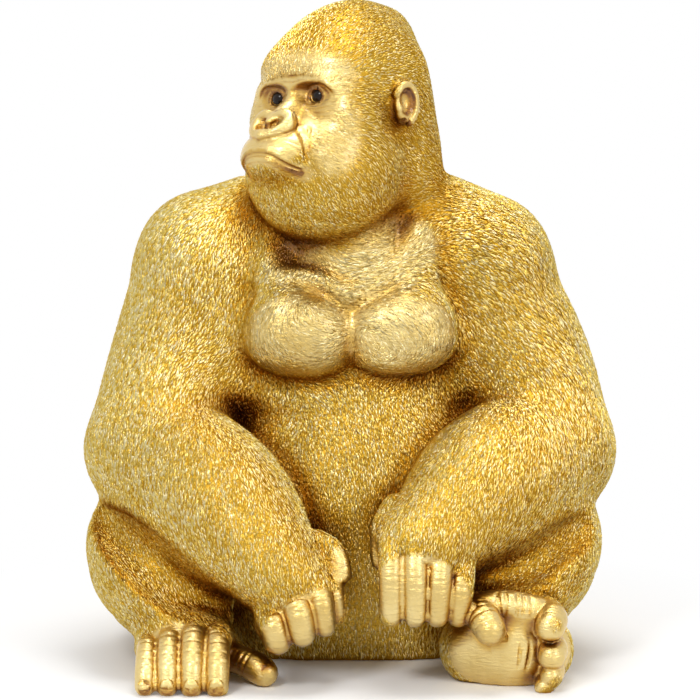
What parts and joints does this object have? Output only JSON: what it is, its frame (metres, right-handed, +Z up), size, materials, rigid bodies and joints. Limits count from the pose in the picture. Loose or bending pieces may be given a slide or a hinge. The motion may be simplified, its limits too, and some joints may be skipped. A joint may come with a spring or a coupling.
{
  "type": "gorilla figurine",
  "caption": "Seated gorilla figurine in gold lacquer, head turned to one side, hands resting on its knees, carved fur all over and dark glossy eyes.",
  "frame": {"origin": "middle of the figure's outer box, on the surface it sits on", "axes": "+Z up, -Y the way the figure faces, +X to the right of someone looking at it"},
  "size_m": [0.319, 0.2682, 0.3913],
  "materials": {
    "gold_lacquer": "satin metallic gold paint on cast resin",
    "eye_gloss": "glossy near-black brown"
  },
  "bodies": {
    "root": {"gorilla_body": "gold_lacquer", "left_eye": "eye_gloss", "right_eye": "eye_gloss"}
  },
  "joints": []
}
